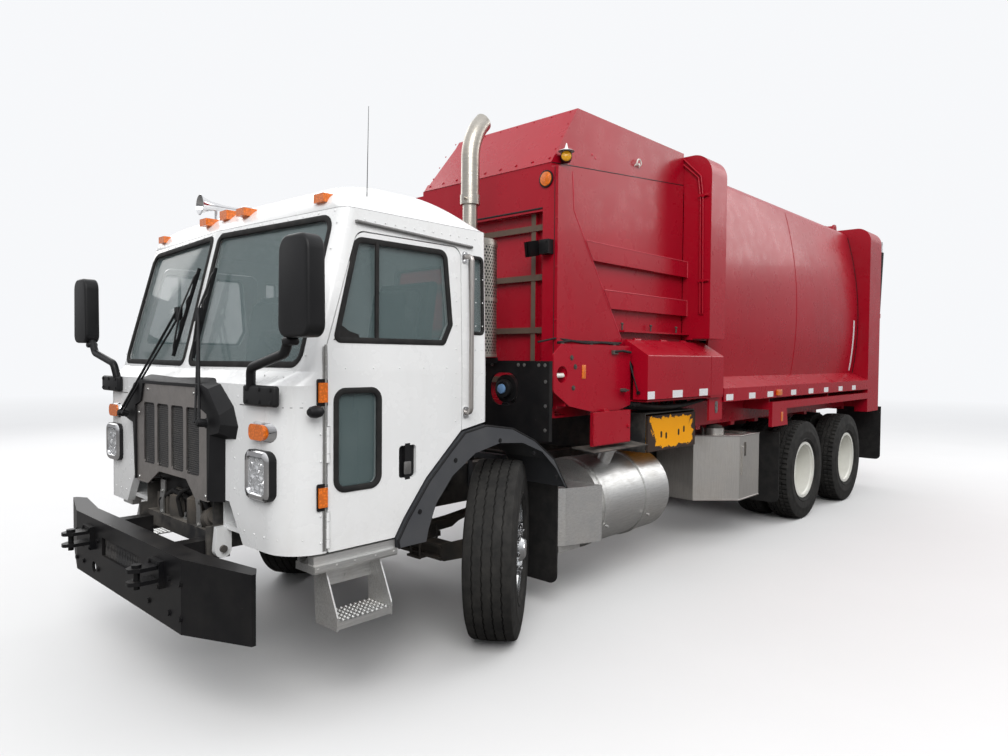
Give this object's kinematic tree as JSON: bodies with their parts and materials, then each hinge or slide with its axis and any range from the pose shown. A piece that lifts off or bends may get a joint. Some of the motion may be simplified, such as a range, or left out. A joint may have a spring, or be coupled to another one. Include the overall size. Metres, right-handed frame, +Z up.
{
  "type": "side-loading garbage truck",
  "caption": "Cab-over refuse truck with a side-loading arm, charging hopper, barrel-sided packer body, lifting tailgate, tilting cab and steered front wheels.",
  "frame": {"origin": "middle of the footprint's bounding box, on the ground plane", "axes": "+X forward, +Y to the truck's left, +Z up"},
  "size_m": [9.6626, 2.92, 3.545],
  "materials": {
    "white_paint": "gloss white paint, lightly dusty",
    "red_paint": "gloss red paint",
    "black_steel": "satin black paint",
    "frame_black": "dusty black chassis paint",
    "black_plastic": "moulded black plastic",
    "stainless": "brushed stainless steel",
    "aluminium": "mill-finish aluminium",
    "exhaust_steel": "heat-stained stainless pipe",
    "white_rim": "white enamelled steel",
    "alloy_rim": "polished aluminium",
    "tyre": "worn black rubber",
    "rubber": "matt black rubber",
    "cast": "greased cast iron",
    "chrome_rod": "chromed ram rod",
    "yellow_paint": "worn yellow paint",
    "glass": "clear window glass",
    "lens_amber": "amber lamp lens",
    "interior": "dark grey moulded trim",
    "seat_vinyl": "black vinyl over foam"
  },
  "bodies": {
    "chassis": {"arm_guide": "frame_black", "body_rails": "red_paint", "body_rings": "red_paint", "body_shell": "red_paint", "bumper": "black_steel", "cab_back_panel": "black_steel", "canopy": "red_paint", "crossmembers": "frame_black", "drive_axles": "cast", "engine_block": "cast", "exhaust_stack": "exhaust_steel", "frame_rails": "frame_black", "front_axle": "cast", "front_fenders": "black_plastic", "fuel_tank": "aluminium", "hopper": "red_paint", "hydraulic_tank": "stainless", "mudflaps": "rubber", "radiator": "black_steel"},
    "cab": {"cab_shell": "white_paint", "cab_glass": "glass", "grille": "stainless", "cab_trim": "black_plastic", "mirrors": "black_plastic", "cab_lamps": "lens_amber", "cab_steps": "aluminium", "dashboard": "interior", "seats": "seat_vinyl", "grab_handles": "stainless"},
    "door_left": {"door_left": "white_paint", "door_glass_left": "glass"},
    "knuckle_left": {"knuckle_left": "cast"},
    "front_wheel_left": {"tyre_front_left": "tyre", "rim_front_left": "alloy_rim"},
    "drive1_wheels_left": {"tyres_drive1_left": "tyre", "rims_drive1_left": "white_rim"},
    "drive2_wheels_left": {"tyres_drive2_left": "tyre", "rims_drive2_left": "white_rim"},
    "ram_barrel_left": {"ram_barrel_left": "black_steel"},
    "ram_rod_left": {"ram_rod_left": "chrome_rod"},
    "door_right": {"door_right": "white_paint", "door_glass_right": "glass"},
    "knuckle_right": {"knuckle_right": "cast"},
    "front_wheel_right": {"tyre_front_right": "tyre", "rim_front_right": "alloy_rim"},
    "drive1_wheels_right": {"tyres_drive1_right": "tyre", "rims_drive1_right": "white_rim"},
    "drive2_wheels_right": {"tyres_drive2_right": "tyre", "rims_drive2_right": "white_rim"},
    "ram_barrel_right": {"ram_barrel_right": "black_steel"},
    "ram_rod_right": {"ram_rod_right": "chrome_rod"},
    "tie_rod": {"tie_rod": "cast"},
    "tailgate": {"tailgate": "red_paint"},
    "arm_slide": {"arm_slide": "yellow_paint"},
    "lift_arm": {"lift_arm": "black_steel"},
    "gripper_front": {"gripper_front": "black_steel"},
    "gripper_rear": {"gripper_rear": "black_steel"},
    "packer_panel": {"packer_panel": "red_paint"},
    "valve_cover": {"valve_cover": "red_paint"}
  },
  "joints": [
    {"name": "cab_tilt", "type": "hinge", "parent": "chassis", "child": "cab", "pos_m": [4.37935, 0, 0.72], "axis": [0, 1, 0], "range_deg": [0, 45]},
    {"name": "door_left_hinge", "type": "hinge", "parent": "cab", "child": "door_left", "pos_m": [4.19835, 1.15, 1.265], "axis": [0, 0, -1], "range_deg": [0, 75]},
    {"name": "steer_left", "type": "hinge", "parent": "chassis", "child": "knuckle_left", "pos_m": [2.95935, 0.915, 0.538], "axis": [0, 0, 1], "range_deg": [-76, 4]},
    {"name": "front_wheel_left_spin", "type": "hinge", "parent": "knuckle_left", "child": "front_wheel_left", "pos_m": [2.89175, 1.00804, 0.538], "axis": [-0.5878, 0.809, 0], "continuous": true},
    {"name": "drive1_left_spin", "type": "hinge", "parent": "chassis", "child": "drive1_wheels_left", "pos_m": [-1.72265, 0.8885, 0.525], "axis": [0, 1, 0], "continuous": true},
    {"name": "drive2_left_spin", "type": "hinge", "parent": "chassis", "child": "drive2_wheels_left", "pos_m": [-3.09465, 0.8885, 0.525], "axis": [0, 1, 0], "continuous": true},
    {"name": "door_right_hinge", "type": "hinge", "parent": "cab", "child": "door_right", "pos_m": [4.19835, -1.15, 1.265], "axis": [0, 0, 1], "range_deg": [0, 75]},
    {"name": "steer_right", "type": "hinge", "parent": "chassis", "child": "knuckle_right", "pos_m": [2.95935, -0.915, 0.538], "axis": [0, 0, 1], "range_deg": [-76, 4]},
    {"name": "front_wheel_right_spin", "type": "hinge", "parent": "knuckle_right", "child": "front_wheel_right", "pos_m": [3.02694, -1.00804, 0.538], "axis": [-0.5878, 0.809, 0], "continuous": true},
    {"name": "drive1_right_spin", "type": "hinge", "parent": "chassis", "child": "drive1_wheels_right", "pos_m": [-1.72265, -0.8885, 0.525], "axis": [0, 1, 0], "continuous": true},
    {"name": "drive2_right_spin", "type": "hinge", "parent": "chassis", "child": "drive2_wheels_right", "pos_m": [-3.09465, -0.8885, 0.525], "axis": [0, 1, 0], "continuous": true},
    {"name": "tie_rod_swing", "type": "hinge", "parent": "knuckle_left", "child": "tie_rod", "pos_m": [2.8299, 0.82095, 0.4], "axis": [0, 0, 1], "range_deg": [-4, 76]},
    {"name": "tailgate_lift", "type": "hinge", "parent": "chassis", "child": "tailgate", "pos_m": [-4.13565, 0, 3.5], "axis": [0, 1, 0], "range_deg": [0, 100]},
    {"name": "ram_left_swing", "type": "hinge", "parent": "chassis", "child": "ram_barrel_left", "pos_m": [-4.33065, 1.15, 2.3], "axis": [0, 1, 0], "range_deg": [0, 9.05]},
    {"name": "ram_left_stroke", "type": "slide", "parent": "ram_barrel_left", "child": "ram_rod_left", "axis": [-0.1328, 0, 0.9911], "range_m": [0, 0.5915]},
    {"name": "ram_right_swing", "type": "hinge", "parent": "chassis", "child": "ram_barrel_right", "pos_m": [-4.33065, -1.15, 2.3], "axis": [0, 1, 0], "range_deg": [0, 9.05]},
    {"name": "ram_right_stroke", "type": "slide", "parent": "ram_barrel_right", "child": "ram_rod_right", "axis": [-0.1328, 0, 0.9911], "range_m": [0, 0.5915]},
    {"name": "arm_reach", "type": "slide", "parent": "chassis", "child": "arm_slide", "axis": [0, -1, 0], "range_m": [0, 1.7]},
    {"name": "arm_lift", "type": "hinge", "parent": "arm_slide", "child": "lift_arm", "pos_m": [0.99435, -1.14, 1.62], "axis": [-1, 0, 0], "range_deg": [0, 150]},
    {"name": "gripper_front_swing", "type": "hinge", "parent": "lift_arm", "child": "gripper_front", "pos_m": [1.32435, -1.355, 0.9], "axis": [0, 0, 1], "range_deg": [0, 100]},
    {"name": "gripper_rear_swing", "type": "hinge", "parent": "lift_arm", "child": "gripper_rear", "pos_m": [0.66435, -1.355, 0.9], "axis": [0, 0, -1], "range_deg": [0, 100]},
    {"name": "packer_stroke", "type": "slide", "parent": "chassis", "child": "packer_panel", "axis": [-1, 0, 0], "range_m": [0, 1.4]},
    {"name": "valve_cover_lift", "type": "hinge", "parent": "chassis", "child": "valve_cover", "pos_m": [0.97935, 1.04, 1.84], "axis": [1, 0, 0], "range_deg": [0, 80]}
  ],
  "couplings": [
    {"joint": "steer_right", "follows": "steer_left", "ratio": 1},
    {"joint": "tie_rod_swing", "follows": "steer_left", "ratio": -1},
    {"joint": "gripper_rear_swing", "follows": "gripper_front_swing", "ratio": 1},
    {"joint": "ram_left_swing", "follows": "tailgate_lift", "ratio": 0.085489},
    {"joint": "ram_left_stroke", "follows": "tailgate_lift", "m_per_rad": 0.33319},
    {"joint": "ram_right_swing", "follows": "tailgate_lift", "ratio": 0.085489},
    {"joint": "ram_right_stroke", "follows": "tailgate_lift", "m_per_rad": 0.33319}
  ]
}
